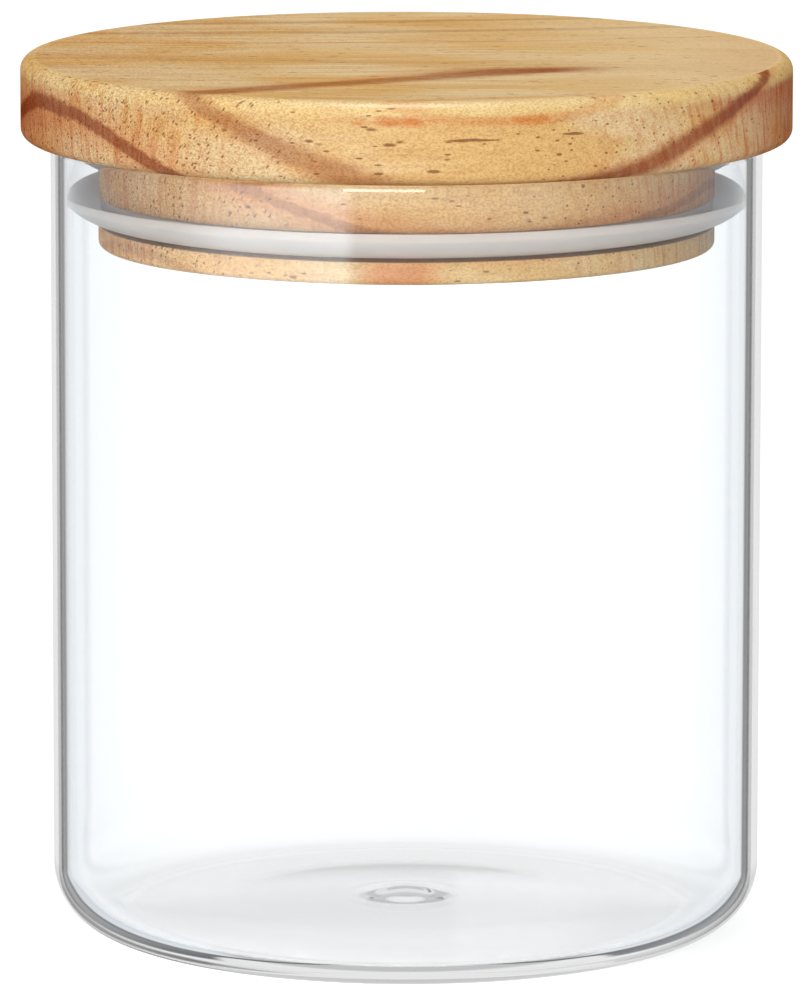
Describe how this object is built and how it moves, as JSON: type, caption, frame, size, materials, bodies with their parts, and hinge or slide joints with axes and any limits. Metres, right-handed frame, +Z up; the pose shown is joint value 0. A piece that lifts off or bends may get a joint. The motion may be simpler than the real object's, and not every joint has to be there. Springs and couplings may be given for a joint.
{
  "type": "food canister",
  "caption": "Straight-sided clear glass storage jar with a plugged round wooden lid and a silicone lip seal that closes its mouth.",
  "frame": {"origin": "middle of the foot circle, on the surface that the jar stands on", "axes": "+Z up along the jar's axis, through the lid; the jar is turned about Z, and +X runs along the grain of the lid"},
  "size_m": [0.1084, 0.1084, 0.1239],
  "materials": {
    "glass": "clear, fire-polished",
    "wood": "satin, lightly oiled",
    "silicone": "translucent, satin"
  },
  "bodies": {
    "jar": {"glass_jar": "glass"},
    "seal": {"silicone_seal": "silicone"},
    "lid": {"wooden_lid": "wood"}
  },
  "joints": [
    {"name": "lid_lift", "type": "slide", "parent": "jar", "child": "seal", "axis": [0, 0, 1], "range_m": [0, 0.06]},
    {"name": "lid_turn", "type": "hinge", "parent": "seal", "child": "lid", "pos_m": [0, 0, 0.1027], "axis": [0, 0, 1], "continuous": true}
  ]
}
